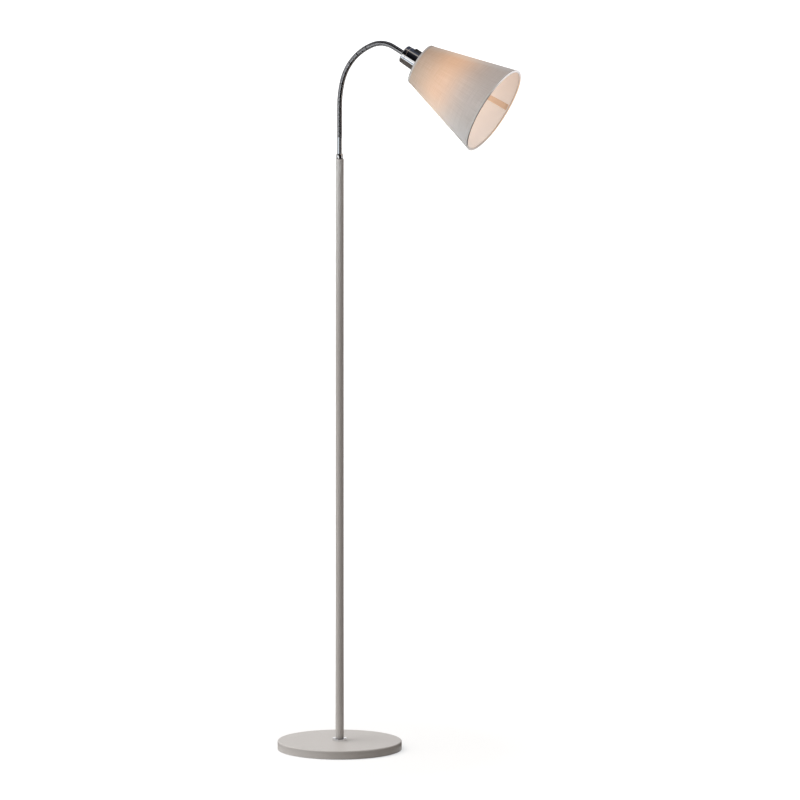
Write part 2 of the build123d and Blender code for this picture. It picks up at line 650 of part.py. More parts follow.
def rocker_bezel():
    """The frame round the rocker: a border on the cup and walls that reach down to the switch body."""
    half_length = SWITCH_LENGTH / 2
    half_width = SWITCH_WIDTH / 2
    top = cup_radius(SWITCH_CENTRE) + BEZEL_PROUD
    border = block(
        (PIN_HEIGHT, top),
        (-half_width - BEZEL_BORDER, half_width + BEZEL_BORDER),
        (SWITCH_CENTRE - half_length - BEZEL_BORDER, SWITCH_CENTRE + half_length + BEZEL_BORDER),
    )
    border = chamfer(border.faces().sort_by(Axis.X)[-1].edges(), BEZEL_PROUD / 3)
    border -= turned(
        (0, 0), (cup_radius(0) + FIT, 0), (cup_radius(CUP_LENGTH) + FIT, CUP_LENGTH), (0, CUP_LENGTH))
    walls = block(
        (PIN_HEIGHT - PIN_DIAMETER, top - BEZEL_PROUD / 2),
        (-half_width, half_width),
        (SWITCH_CENTRE - half_length, SWITCH_CENTRE + half_length),
    )
    frame = border + walls
    window = ROCKER_RADIUS + ROCKER_GAP
    side = ROCKER_WIDTH / 2 + ROCKER_GAP
    frame -= block((0, CUP_DIAMETER), (-side, side), (SWITCH_CENTRE - window, SWITCH_CENTRE + window))
    return frame - pin_bar(PIN_DIAMETER / 2 + PIN_FIT, SWITCH_WIDTH)


def pin_bar(radius, length):
    """A bar across the switch on the rocker's pivot line."""
    return Pos(PIN_HEIGHT, 0, SWITCH_CENTRE) * Rotation(90, 0, 0) * Cylinder(radius, length)


def rocker_pin():
    return pin_bar(PIN_DIAMETER / 2, SWITCH_WIDTH - 2 * PIN_INSET)


def rocker():
    """A dished key, tilted onto its front end, which is the on position."""
    end = ROCKER_RADIUS
    outline = Polyline(
        (-ROCKER_FLOOR, -end), (ROCKER_TOP, -end), (ROCKER_TOP - ROCKER_DISH, 0), (ROCKER_TOP, end),
        (-ROCKER_FLOOR, end), close=True,
    )
    profile = make_face(Plane.XZ * outline) & (Plane.XZ * Circle(end))
    body = extrude(profile, ROCKER_WIDTH / 2, both=True)
    body -= Rotation(90, 0, 0) * Cylinder(PIN_DIAMETER / 2 + PIN_CLEARANCE, ROCKER_WIDTH + 2 * PAST)
    return Pos(PIN_HEIGHT, 0, SWITCH_CENTRE) * Rotation(0, -ROCKER_TILT, 0) * body


# ---- bulb ----
def bulb_glass():
    """A round glass with a waist down to its cap, hollow and open inside the cap."""
    radius = BULB_DIAMETER / 2
    neck = BULB_NECK_DIAMETER / 2
    centre = BULB_TIP + BULB_LENGTH - radius
    neck_top = BULB_TIP + BULB_TIP_HEIGHT + BULB_CAP_LENGTH
    neck_bottom = neck_top - GLASS_IN_CAP
    leave = radians(BULB_WAIST_ANGLE)

    def outline(shrink):
        ball = radius - shrink
        foot = (neck - shrink, neck_bottom)
        shoulder = (neck - shrink, neck_top)
        join = (ball * cos(leave), centre + ball * sin(leave))
        side = (ball, centre)
        top = (0, centre + ball)
        waist = TangentArc(shoulder, join, tangent=(0, 1))
        edges = [Line((0, neck_bottom), foot), Line(foot, shoulder), waist]
        edges += [ThreePointArc(join, side, top), Line(top, (0, neck_bottom))]
        return revolve(make_face(Plane.XZ * Wire(edges)), Axis.Z)

    cavity = outline(BULB_GLASS) + disc(neck - BULB_GLASS, neck_bottom - PAST, neck_bottom + PAST)
    return outline(0) - cavity


def bulb_cap():
    """The screw cap as a ribbed cup round the glass's foot."""
    bottom = BULB_TIP + BULB_TIP_HEIGHT
    top = bottom + BULB_CAP_LENGTH
    crest = BULB_CAP_DIAMETER / 2
    valley = crest - CAP_THREAD_DEPTH
    socket = BULB_NECK_DIAMETER / 2 + FIT
    step = top - GLASS_IN_CAP - FIT
    hollow = socket - CAP_STEP
    thread = bottom + CAP_SHOULDER
    outline = [(0, bottom), (BULB_TIP_DIAMETER / 2 + CAP_STEP, bottom), (valley, thread)]
    for rib in range(CAP_THREADS):
        base = thread + rib * CAP_THREAD_PITCH
        outline += [(crest, base + CAP_THREAD_PITCH / 2), (valley, base + CAP_THREAD_PITCH)]
    outline += [(valley, top), (socket, top), (socket, step), (hollow, step)]
    outline += [(hollow, thread + CAP_STEP), (0, bottom + CAP_STEP)]
    return turned(*outline)


def bulb_contact():
    return disc(BULB_TIP_DIAMETER / 2, BULB_TIP, BULB_TIP + BULB_TIP_HEIGHT)


def bulb_filament():
    """Glass stem that stands on the cap's step and carries upright light sticks on a small plate."""
    foot = BULB_TIP + BULB_TIP_HEIGHT + BULB_CAP_LENGTH - GLASS_IN_CAP
    centre = BULB_TIP + BULB_LENGTH - BULB_DIAMETER / 2
    low = centre - FILAMENT_LENGTH / 2
    seat = BULB_NECK_DIAMETER / 2 - BULB_GLASS - FIT
    stem = disc(seat, foot, foot + GLASS_IN_CAP) + disc(STEM_DIAMETER / 2, foot, low)
    stem += disc(FILAMENT_SPREAD / 2 + FILAMENT_DIAMETER, low - FILAMENT_PLATE, low)
    stick = Pos(FILAMENT_SPREAD / 2, 0, 0) * disc(FILAMENT_DIAMETER / 2, low, low + FILAMENT_LENGTH)
    for i in range(FILAMENTS):
        stem += Rotation(0, 0, i * 360 / FILAMENTS) * stick
    return stem


# ---- shade ----
def shade_radius(along, inset=0.0):
    """The cloth's outside radius at a length below the top rim, less an inset across the axis."""
    return SHADE_TOP_DIAMETER / 2 + SHADE_SLOPE * along - inset


def shade_layer(start, end, inset, thickness):
    """A conical layer of the shade between two lengths below its top rim."""
    return Pos(0, 0, SHADE_START) * turned(
        (shade_radius(start, inset + thickness), start), (shade_radius(start, inset), start),
        (shade_radius(end, inset), end), (shade_radius(end, inset + thickness), end),
    )


def shade_fabric():
    return shade_layer(0, SHADE_LENGTH, 0, CLOTH_THICKNESS)


def shade_liner():
    return shade_layer(0, SHADE_LENGTH, LINER_INSET, LINER_THICKNESS)


def rim_ring(along):
    """A round wire inside the shade, touching its lining."""
    across = (RING_WIRE / 2 + LAYER_GAP) * sqrt(1 + SHADE_SLOPE ** 2)
    centre = shade_radius(along, INSIDE_INSET) - across
    return Pos(0, 0, SHADE_START + along) * Torus(centre, RING_WIRE / 2), centre


def shade_carrier():
    """Welded wire frame: a plate on the lampholder, three arms and the ring in the top rim."""
    ring, ring_radius = rim_ring(RING_WIRE / 2)
    bore = HOLDER_THREAD_DIAMETER / 2 + THREAD_CLEARANCE
    plate = tube(CARRIER_DIAMETER / 2, bore, CUP_LENGTH, CUP_LENGTH + CARRIER_THICKNESS)
    frame = plate + ring
    start_radius = CARRIER_DIAMETER / 2 - CARRIER_ARM_DIAMETER / 2
    start_height = CUP_LENGTH + CARRIER_THICKNESS / 2
    end_height = SHADE_START + RING_WIRE / 2
    reach = ring_radius - start_radius
    drop = end_height - start_height
    length = sqrt(reach ** 2 + drop ** 2)
    tilt = degrees(atan2(reach, drop))
    arm = disc(CARRIER_ARM_DIAMETER / 2, 0, length)
    arm = Pos(start_radius, 0, start_height) * Rotation(0, tilt, 0) * arm
    for i in range(CARRIER_ARMS):
        frame += Rotation(0, 0, CARRIER_ARM_ANGLE + i * 360 / CARRIER_ARMS) * arm
    return frame


def shade_bottom_ring():
    return rim_ring(SHADE_LENGTH - RING_WIRE / 2)[0]


def rim_trim(rim, inward):
    """A folded strip over a rim: a leg on the cloth, a fold past the edge and a lip under the wire."""
    out = TRIM_THICKNESS
    gap = LAYER_GAP
    near = rim - inward * TRIM_WIDTH
    past = rim + inward * (TRIM_THICKNESS + gap)
    just = rim + inward * gap
    inner = INSIDE_INSET + RING_WIRE + 2 * gap
    return Pos(0, 0, SHADE_START) * turned(
        (shade_radius(near, -gap), near), (shade_radius(near, -gap - out), near),
        (shade_radius(past, -gap - out), past), (shade_radius(past, inner), past),
        (shade_radius(just, inner), just), (shade_radius(just, -gap), just),
    )


def shade_seam():
    """The lap strip that runs down the inside of the lining between the two ring wires."""
    start = RING_WIRE + SEAM_END_GAP
    end = SHADE_LENGTH - RING_WIRE - SEAM_END_GAP
    layer = shade_layer(start, end, LINER_INSET + LINER_THICKNESS + SEAM_GAP, SEAM_THICKNESS)
    half = SEAM_WIDTH / 2
    strip = block((0, SHADE_BOTTOM_DIAMETER), (-half, half), (0, SHADE_START + SHADE_LENGTH))
    return layer & (Rotation(0, 0, SEAM_ANGLE) * strip)


def upright_pieces():
    """Pieces of the base, the pole and the neck, in the lamp's frame."""
    pieces = {
        "base_cover": base_cover(),
        "base_weight": base_weight(),
        "base_pad": base_pad(),
        "inlet_grommet": inlet_grommet(),
        "base_washer": base_washer(),
        "base_nut": base_nut(),
        "base_stud": base_stud(),
        "foot_flange": foot_flange(),
        "pole_lower": pole_tube(0),
        "pole_middle": pole_tube(1),
        "pole_upper": pole_tube(2),
        "pole_foot_bush": bush(BASE_HEIGHT, BASE_HEIGHT + FOOT_BUSH_LENGTH, THREAD_HOLE_RADIUS),
        "pole_joiner_lower": pole_joiner(1),
        "pole_joiner_upper": pole_joiner(2),
        "pole_top_bush": bush(POLE_TOP - TOP_BUSH_LENGTH, POLE_TOP, THREAD_HOLE_RADIUS),
        "neck_collar": neck_collar(),
        "neck_foot_ferrule": neck_foot_ferrule(),
        "mains_flex": mains_flex(),
    }
    pieces.update(neck_pieces())
    return pieces


def head_pieces():
    """Pieces of the head, in the head's frame."""
    return {
        "neck_head_ferrule": neck_head_ferrule(),
        "neck_lock_nut": neck_lock_nut(),
        "cup_rear_cap": cup_rear_cap(),
        "cup_sleeve": cup_sleeve(),
        "switch_body": switch_body(),
        "rocker_bezel": rocker_bezel(),
        "rocker_pin": rocker_pin(),
        "rocker": rocker(),
        "lampholder_body": lampholder_body(),
        "lampholder_shell": lampholder_shell(),
        "centre_contact": centre_contact(),
        "terminal_screws": terminal_screws(),
        "shade_nut": shade_nut(),
        "bulb_glass": bulb_glass(),
        "bulb_cap": bulb_cap(),
        "bulb_contact": bulb_contact(),
        "bulb_filament": bulb_filament(),
        "shade_carrier": shade_carrier(),
        "shade_bottom_ring": shade_bottom_ring(),
        "shade_liner": shade_liner(),
        "shade_fabric": shade_fabric(),
        "shade_top_trim": rim_trim(0, -1),
        "shade_bottom_trim": rim_trim(SHADE_LENGTH, 1),
        "shade_seam": shade_seam(),
    }


def main():
    os.makedirs("parts", exist_ok=True)
    pieces = upright_pieces()
    for name, shape in head_pieces().items():
        pieces[name] = HEAD.location * shape
    for name, shape in pieces.items():
        export_step(shape, f"parts/{name}.step")
    for i in range(NECK_JOINTS):
        point, angle = neck_point((i + 0.5) * JOINT_SPACING)
        print(f"bend {i + 1}: x {point.X:.4f} z {point.Z:.4f} angle {degrees(angle):.3f}")
    pivot = HEAD.from_local_coords(Vector(PIN_HEIGHT, 0, SWITCH_CENTRE))
    print(f"rocker pivot: x {pivot.X:.4f} z {pivot.Z:.4f}")
    print(f"head: x {HEAD_POINT.X:.4f} z {HEAD_POINT.Z:.4f} angle {degrees(HEAD_ANGLE):.3f}")
    print(f"neck length {NECK_LENGTH:.2f}")


main()
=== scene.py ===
import math

import bmesh
import bpy
from mathutils import Matrix, Vector

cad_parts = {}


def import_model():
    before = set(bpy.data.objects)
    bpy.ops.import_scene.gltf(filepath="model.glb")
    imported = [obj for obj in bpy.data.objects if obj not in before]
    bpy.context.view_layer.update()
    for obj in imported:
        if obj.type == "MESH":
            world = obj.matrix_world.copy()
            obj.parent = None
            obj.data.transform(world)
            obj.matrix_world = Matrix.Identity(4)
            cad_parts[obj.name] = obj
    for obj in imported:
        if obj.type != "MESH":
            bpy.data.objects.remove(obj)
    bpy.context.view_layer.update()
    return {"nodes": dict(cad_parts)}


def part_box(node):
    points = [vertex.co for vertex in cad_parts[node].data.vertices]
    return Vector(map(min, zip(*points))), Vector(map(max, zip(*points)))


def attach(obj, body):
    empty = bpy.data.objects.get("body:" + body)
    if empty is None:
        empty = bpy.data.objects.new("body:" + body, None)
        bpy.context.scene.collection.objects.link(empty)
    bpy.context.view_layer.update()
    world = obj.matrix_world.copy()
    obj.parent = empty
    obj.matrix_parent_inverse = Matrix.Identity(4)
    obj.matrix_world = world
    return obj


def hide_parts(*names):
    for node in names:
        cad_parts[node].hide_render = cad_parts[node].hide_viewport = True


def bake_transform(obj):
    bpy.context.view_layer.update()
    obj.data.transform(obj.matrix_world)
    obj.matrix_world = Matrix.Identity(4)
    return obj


# A gooseneck reading floor lamp, dressed for its portrait. Lengths are in metres, angles in radians.
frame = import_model()

MM = 0.001
FULL_TURN = 2 * math.pi

# ---- sizes shared with the part's source ----
BASE_HEIGHT = 17.5 * MM
NECK_BOTTOM = 1201.3 * MM        # where the winding starts
NECK_RISER = 60.0 * MM           # its straight stretch up
NECK_ARCS = (                    # radius, and turn in degrees
    (211.6 * MM, 13.7),
    (111.3 * MM, 52.8),
    (51.3 * MM, 51.0),
)
NECK_RUN = 22.5 * MM             # its straight stretch down to the head
NECK_JOINTS = 12
NECK_RADIUS = 5.2 * MM
NECK_BORE = 3.25 * MM
COIL_PITCH = 2.4 * MM
COIL_DEPTH = 0.55 * MM
SHOULDER_LENGTH = 1.5 * MM
FLEX_RADIUS = 2.3 * MM
FLEX_IN_HEAD = 9.0 * MM
SHADE_START = 39.5 * MM
SHADE_LENGTH = 173.5 * MM
SHADE_TOP = 41.6 * MM            # radii of the shade's rims
SHADE_BOTTOM = 90.1 * MM
CLOTH = 0.5 * MM
LAYER_GAP = 0.05 * MM
RING_WIRE = 2.6 * MM
TRIM_WIDTH = 4.0 * MM
TRIM_THICKNESS = 0.45 * MM
SEAM_WIDTH = 9.0 * MM
SEAM_GAP = 0.25 * MM
SEAM_ANGLE = math.radians(-98.0)
SLOPE = (SHADE_BOTTOM - SHADE_TOP) / SHADE_LENGTH
BODIES = ["root"] + [f"neck_{i:02d}" for i in range(1, NECK_JOINTS)] + ["head"]

# ---- sizes of the scene's own pieces ----
SPLIT_JOINTS = (4, 5, 6, 7, 8)   # joints, counted from 0, where the neck is cut in two
SPLIT_GAP = 1.1 * MM             # open line between the two halves
SPIGOT_RADIUS = 4.0 * MM
SPIGOT_REACH = 1.8 * MM          # past the joint
SOCKET_RADIUS = 4.4 * MM
SOCKET_REACH = 3.2 * MM          # past the joint
BEND_REACH = 8.5 * MM            # how far a bend would spread each way from its joint; not applied
FLEX_CUT = 0.5 * MM
WIRE_SHOWN = 0.985               # share of the round wire's half width that shows beside the next turn
COIL_SIDES = 28
COIL_ROWS_PER_TURN = 9
BORE_PAINTED_SHADE = 0.8                # painted shade of bores and spigots, as dark as a depth of groove
FLEX_SIDES = 16
SHADE_SIDES = 144
SHADE_GLOW = 109.5 * MM          # where the painted glow of the shade is brightest, along the head's axis


def spread(start, end, steps):
    """Evenly spaced values from start to end."""
    return [start + (end - start) * i / steps for i in range(steps + 1)]


# ---- the neck's centre line ----
def neck_place(along):
    """Point of the centre line and its angle from vertical, at a length above the ferrule."""
    if along <= NECK_RISER:
        return Vector((0.0, 0.0, NECK_BOTTOM + along)), 0.0
    x = 0.0
    z = NECK_BOTTOM + NECK_RISER
    angle = 0.0
    left = along - NECK_RISER
    for radius, turn in NECK_ARCS:
        step = min(left, radius * math.radians(turn))
        end = angle + step / radius
        x += radius * (math.cos(angle) - math.cos(end))
        z += radius * (math.sin(end) - math.sin(angle))
        angle = end
        left -= step
    return Vector((x + left * math.sin(angle), 0.0, z + left * math.cos(angle))), angle


NECK_LENGTH = NECK_RISER + sum(radius * math.radians(turn) for radius, turn in NECK_ARCS) + NECK_RUN
SPACING = NECK_LENGTH / NECK_JOINTS
HEAD_POINT, HEAD_ANGLE = neck_place(NECK_LENGTH + SHOULDER_LENGTH)
# the head's own directions: down its axis, up across it, and sideways to the front
AXIS = Vector((math.sin(HEAD_ANGLE), 0.0, math.cos(HEAD_ANGLE)))
UPPER = Vector((-math.cos(HEAD_ANGLE), 0.0, math.sin(HEAD_ANGLE)))
FRONT = AXIS.cross(UPPER)
HEAD = Matrix((UPPER, FRONT, AXIS)).transposed().to_4x4()
HEAD.translation = HEAD_POINT


# ---- finishes ----
class Sock:
    """A node's output that takes part in sums."""

    def __init__(self, finish, socket):
        self.finish = finish
        self.socket = socket

    def maths(self, operation, first, second=0.5):
        return self.finish.node("ShaderNodeMath", {"operation": operation}, {0: first, 1: second})

    def __add__(self, other):
        return self.maths("ADD", self, other)

    def __radd__(self, other):
        return self.maths("ADD", other, self)

    def __sub__(self, other):
        return self.maths("SUBTRACT", self, other)

    def __rsub__(self, other):
        return self.maths("SUBTRACT", other, self)

    def __mul__(self, other):
        return self.maths("MULTIPLY", self, other)

    def __rmul__(self, other):
        return self.maths("MULTIPLY", other, self)

    def __truediv__(self, other):
        return self.maths("DIVIDE", self, other)

    def __rpow__(self, other):
        return self.maths("POWER", other, self)

    def sine(self):
        return self.maths("SINE", self)

    def clipped(self):
        """Held between 0 and 1."""
        return self.maths("MINIMUM", self.maths("MAXIMUM", self, 0.0), 1.0)

    def rise(self, start, end):
        """0 at start, 1 at end, and held beyond them."""
        return ((self - start) / (end - start)).clipped()


class Nodes:
    """The nodes of one material or of the world."""

    def __init__(self, owner):
        owner.use_nodes = True
        self.tree = owner.node_tree
        self.tree.nodes.clear()

    def plug(self, node, key, value):
        socket = node.inputs[key]
        if isinstance(value, Sock):
            self.tree.links.new(value.socket, socket)
        elif isinstance(value, tuple) and len(value) == 3 and socket.type == "RGBA":
            socket.default_value = (*value, 1.0)
        else:
            socket.default_value = value

    def node(self, kind, settings=None, inputs=None, output=0):
        """Any other node: its settings first, then the values or links of its sockets."""
        node = self.tree.nodes.new(kind)
        for name, value in (settings or {}).items():
            if name == "stops":
                ramp = node.color_ramp
                while len(ramp.elements) < len(value):
                    ramp.elements.new(0.5)
                for element, (place, colour) in zip(ramp.elements, value):
                    element.position = place
                    element.color = (*colour, 1.0)
            else:
                setattr(node, name, value)
        for key, value in (inputs or {}).items():
            self.plug(node, key, value)
        return Sock(self, node.outputs[output])

    def show(self, kind, surface):
        """Sends a shader to the tree's output."""
        out = self.tree.nodes.new(kind)
        self.tree.links.new(surface, out.inputs["Surface"])


class Finish(Nodes):
    """A material made of nodes, for one finish of the lamp."""

    def __init__(self, name, **plain):
        self.material = bpy.data.materials.new(name)
        super().__init__(self.material)
        self.shader = self.tree.nodes.new("ShaderNodeBsdfPrincipled")
        self.show("ShaderNodeOutputMaterial", self.shader.outputs[0])
        for socket, value in plain.items():
            self.wear(socket.replace("_", " "), value)

    def wear(self, socket, value):
        """Sets or links a socket of the shader."""
        self.plug(self.shader, socket, value)

    def place(self, kind="Object"):
        return self.node("ShaderNodeTexCoord", output=kind)

    def noise(self, scale, detail=3.0, roughness=0.5, where=None):
        where = where or self.place()
        inputs = {"Vector": where, "Scale": scale, "Detail": detail, "Roughness": roughness}
        return self.node("ShaderNodeTexNoise", None, inputs, "Fac")

    def mix(self, amount, first, second, blend="MIX"):
        """A colour between two colours."""
        settings = {"data_type": "RGBA", "blend_type": blend}
        return self.node("ShaderNodeMix", settings, {0: amount, 6: first, 7: second}, 2)

    def axis(self, vector, name):
        return self.node("ShaderNodeSeparateXYZ", None, {"Vector": vector}, name)

    def mark(self, name):
        """A number that a piece's mesh carries at each point."""
        return self.node("ShaderNodeAttribute", {"attribute_name": name}, None, "Fac")

    def in_head(self, direction):
        """Length from the head's origin along one of the head's own directions."""
        settings = {"operation": "SUBTRACT"}
        reach = self.node("ShaderNodeVectorMath", settings, {0: self.place(), 1: HEAD_POINT})
        settings = {"operation": "DOT_PRODUCT"}
        return self.node("ShaderNodeVectorMath", settings, {0: reach, 1: direction}, "Value")

    def relief(self, height, depth):
        """Bumps of a real depth."""
        inputs = {"Height": height, "Distance": depth, "Strength": 1.0}
        self.wear("Normal", self.node("ShaderNodeBump", None, inputs))


BLACK = (0.0, 0.0, 0.0)


def powder_coat():
    """Warm grey powder coat with a fine orange peel."""
    f = Finish("greige_powder_coat", Specular_IOR_Level=0.42)
    cloud = f.noise(9.0, 4.0)
    speck = f.noise(2600.0, 1.0)
    f.wear("Base Color", f.mix(cloud * 0.5 + speck * 0.5, (0.545, 0.520, 0.500), (0.625, 0.602, 0.582)))
    f.wear("Roughness", 0.40 + 0.14 * f.noise(60.0, 2.0))
    f.relief(f.noise(1500.0, 2.0), 0.06 * MM)
    return f.material


def chrome():
    """Bright chrome, faintly smeared and not quite even."""
    f = Finish("bright_chrome", Metallic=1.0)
    smear = f.noise(38.0, 5.0, 0.6)
    f.wear("Base Color", f.mix(smear, (0.74, 0.745, 0.76), (0.82, 0.82, 0.825)))
    f.wear("Roughness", 0.045 + 0.07 * smear)
    f.relief(f.noise(900.0, 2.0), 0.004 * MM)
    return f.material


def coil_steel():
    """Chromed winding: bright on the crests, with painted shade making it dark down in the grooves, and a
    little dull there.
    """
    f = Finish("wound_chrome", Metallic=1.0)
    groove = f.mark("groove")
    smear = f.noise(120.0, 4.0)
    # the near black towards the grooves is painted shade
    f.wear("Base Color", f.mix((groove * 1.4).clipped(), (0.64, 0.645, 0.67), (0.02, 0.019, 0.02)))
    f.wear("Roughness", 0.10 + 0.10 * smear + 0.25 * groove)
    return f.material


def cast_iron():
    """Bare grey casting with sand grain."""
    f = Finish("grey_casting", Metallic=0.55)
    grain = f.noise(420.0, 6.0, 0.65)
    f.wear("Base Color", f.mix(grain, (0.045, 0.043, 0.042), (0.13, 0.125, 0.12)))
    f.wear("Roughness", 0.55 + 0.3 * grain)
    f.relief(grain, 0.4 * MM)
    return f.material


def foam():
    """Closed-cell foam of the foot pad."""
    f = Finish("pad_foam_dark")
    cells = f.node("ShaderNodeTexVoronoi", None, {"Vector": f.place(), "Scale": 1100.0}, "Distance")
    f.wear("Base Color", f.mix(cells.clipped(), (0.018, 0.018, 0.019), (0.055, 0.054, 0.054)))
    f.wear("Roughness", 0.86 + 0.1 * f.noise(200.0))
    f.relief(cells, 0.25 * MM)
    return f.material


def moulded(name, low, high, rough, grain=900.0, depth=0.03 * MM):
    """Moulded rubber or plastic with a fine grain."""
    f = Finish(name)
    f.wear("Base Color", f.mix(f.noise(45.0, 4.0), low, high))
    f.wear("Roughness", rough + 0.1 * f.noise(160.0))
    f.relief(f.noise(grain, 3.0), depth)
    return f.material


def plated(name, low, high, rough):
    """Plated or turned metal of the small hardware."""
    f = Finish(name, Metallic=0.95)
    spot = f.noise(300.0, 4.0, 0.6)
    f.wear("Base Color", f.mix(spot, low, high))
    f.wear("Roughness", rough + 0.16 * spot)
    f.relief(f.noise(1800.0, 2.0), 0.01 * MM)
    return f.material


def opal_glass():
    """Lit opal glass of the bulb."""
    f = Finish("lit_opal_glass", Emission_Strength=2.2)
    frost = f.noise(260.0, 3.0)
    f.wear("Base Color", f.mix(frost, (0.86, 0.83, 0.78), (0.92, 0.90, 0.86)))
    f.wear("Roughness", 0.22 + 0.1 * frost)
    f.wear("Emission Color", f.mix(f.noise(30.0, 2.0), (1.0, 0.80, 0.62), (1.0, 0.86, 0.72)))
    return f.material


def light_stick():
    """Lit sticks inside the bulb."""
    f = Finish("light_sticks", Emission_Strength=4.0)
    dots = f.noise(700.0, 1.0)
    f.wear("Base Color", f.mix(dots, (0.80, 0.62, 0.22), (0.9, 0.75, 0.35)))
    f.wear("Roughness", 0.4 + 0.1 * dots)
    f.wear("Emission Color", f.mix(dots, (1.0, 0.72, 0.42), (1.0, 0.82, 0.55)))
    return f.material


def weave(f, pitch):
    """Plain weave in the cloth's own measured flat pattern: (height, thickness of the threads)."""
    flat = f.place("UV")
    across = f.axis(flat, "X")
    along = f.axis(flat, "Y")
    turn = FULL_TURN / pitch
    wander = (f.noise(55.0, 2.0, 0.5, flat) - 0.5) * 2.1
    warp = (across * turn + wander).sine()
    weft = (along * turn + wander).sine()
    check = (across * (turn / 2)).sine() * (along * (turn / 2)).sine()
    streak_u = f.node("ShaderNodeMapping", None, {"Vector": flat, "Scale": (800.0, 20.0, 1.0)})
    streak_v = f.node("ShaderNodeMapping", None, {"Vector": flat, "Scale": (20.0, 800.0, 1.0)})
    slubs = f.noise(1.0, 2.0, 0.6, streak_u) * 0.5 + f.noise(1.0, 2.0, 0.6, streak_v) * 0.5
    height = warp * 0.22 + weft * 0.22 + check * 0.25 + slubs * 0.6
    return height, slubs


def glow(f, width):
    """How strongly the bulb's painted glow shows, by the length along the head's axis."""
    off = (f.in_head(AXIS) - SHADE_GLOW) / width
    return math.e ** (off * off * -1.0)


def shade_cloth():
    """Greige linen with a painted glow of the bulb, painted light under it and at the back, and painted
    warm shade at the top.
    """
    f = Finish(
        "shade_linen", Roughness=0.86, Specular_IOR_Level=0.2, Sheen_Weight=0.15, Emission_Strength=1.0,
    )
    height, slubs = weave(f, 0.9 * MM)
    thread = f.mix(slubs.rise(0.3077, 0.6923), (0.400, 0.352, 0.325), (0.545, 0.492, 0.465))
    # painted warm shade, strongest at the top rim and gone 110 mm down
    top_shaded_thread = f.mix(1.0, thread, (0.95, 0.82, 0.70), "MULTIPLY")
    near_top = f.in_head(AXIS).rise(SHADE_START + 110 * MM, SHADE_START)
    f.wear("Base Color", f.mix(near_top, thread, top_shaded_thread))
    # painted light on the underside and at the back of the shade
    under = f.in_head(UPPER).rise(-15 * MM, -55 * MM)
    behind = f.in_head(FRONT).rise(20 * MM, 2 * MM)
    painted_light_mask = (under + behind).clipped()
    # painted glow of the bulb, more orange where the threads are thin
    painted_glow_thin = f.mix(slubs.rise(0.1333, 0.8), (0.35, 0.135, 0.010), (0.29, 0.105, 0.0))
    painted_glow_core = f.mix(painted_light_mask, painted_glow_thin, (0.315, 0.20, 0.120))
    painted_side_light = f.mix(painted_light_mask, BLACK, (0.05, 0.065, 0.078))
    f.wear("Emission Color", f.mix(glow(f, 46 * MM), painted_side_light, painted_glow_core))
    f.relief(height, 0.12 * MM)
    return f.material


def shade_lining():
    """Cream lining inside the shade, with a painted glow of the bulb and painted light that grows towards
    its lower side.
    """
    f = Finish("cream_lining", Roughness=0.62, Specular_IOR_Level=0.3, Emission_Strength=1.0)
    fibre = f.noise(900.0, 4.0, 0.6)
    f.wear("Base Color", f.mix(fibre, (0.74, 0.70, 0.66), (0.80, 0.76, 0.73)))
    # painted light, dim at the top of the lining and bright at its bottom, with the bulb's painted glow
    # over it
    low = f.in_head(UPPER).rise(75 * MM, -75 * MM)
    painted_lining_light = f.mix(low, (0.140, 0.098, 0.080), (0.38, 0.355, 0.345))
    f.wear("Emission Color", f.mix(glow(f, 110 * MM) * 0.5, painted_lining_light, (0.40, 0.290, 0.220)))
    f.relief(fibre, 0.05 * MM)
    return f.material


def seam_tape():
    """Tan lap strip inside the shade, with a painted glow of the bulb."""
    f = Finish("tan_seam_tape", Roughness=0.7, Emission_Strength=1.0)
    fibre = f.noise(1300.0, 3.0)
    f.wear("Base Color", f.mix(fibre, (0.66, 0.48, 0.35), (0.72, 0.54, 0.40)))
    # painted glow of the bulb
    f.wear("Emission Color", f.mix(glow(f, 72 * MM), (0.19, 0.125, 0.085), (0.38, 0.27, 0.185)))
    f.relief(fibre, 0.06 * MM)
    return f.material


def rim_tape():
    """Folded tape of the rims: cloth outside, a fold dark with painted shade and a lip, with painted light
    above, below and at the back.
    """
    f = Finish("rim_tape", Roughness=0.8, Sheen_Weight=0.1, Emission_Strength=1.0)
    slubs = f.noise(1400.0, 2.0, 0.6, f.place("UV"))
    fold = f.mark("fold")
    # the stops from 0.60 to 0.74 are painted shade on the fold
    stops = [
        (0.0, (0.500, 0.455, 0.430)), (0.50, (0.44, 0.405, 0.385)), (0.60, (0.25, 0.24, 0.235)),
        (0.74, (0.22, 0.212, 0.210)), (0.84, (0.62, 0.56, 0.52)), (1.0, (0.66, 0.58, 0.52)),
    ]
    tone = f.node("ShaderNodeValToRGB", {"stops": stops}, {"Fac": fold})
    edge = fold.rise(0.52, 0.6033)
    upper = f.in_head(UPPER)
    back = edge * f.in_head(FRONT).rise(12 * MM, -48 * MM)
    foot = edge * upper.rise(-58 * MM, -83 * MM)
    crest = edge * upper.rise(45 * MM, 80 * MM)
    # painted light on the fold, in colour and emission: orange at the back, grey at the foot, white along
    # the crest
    painted_rim_light = BLACK
    for place, colour, light in (
        (back, (0.78, 0.58, 0.44), (0.52, 0.35, 0.235)),
        (foot, (0.58, 0.55, 0.53), (0.40, 0.375, 0.365)),
        (crest, (0.86, 0.85, 0.86), (0.58, 0.575, 0.60)),
    ):
        tone = f.mix(place, tone, colour)
        painted_rim_light = f.mix(place, painted_rim_light, light)
    # the colour carries the fold's painted shade and painted light
    f.wear("Base Color", f.mix(slubs * 0.3, tone, (0.56, 0.51, 0.48)))
    f.wear("Emission Color", painted_rim_light)
    f.relief(slubs, 0.1 * MM)
    return f.material


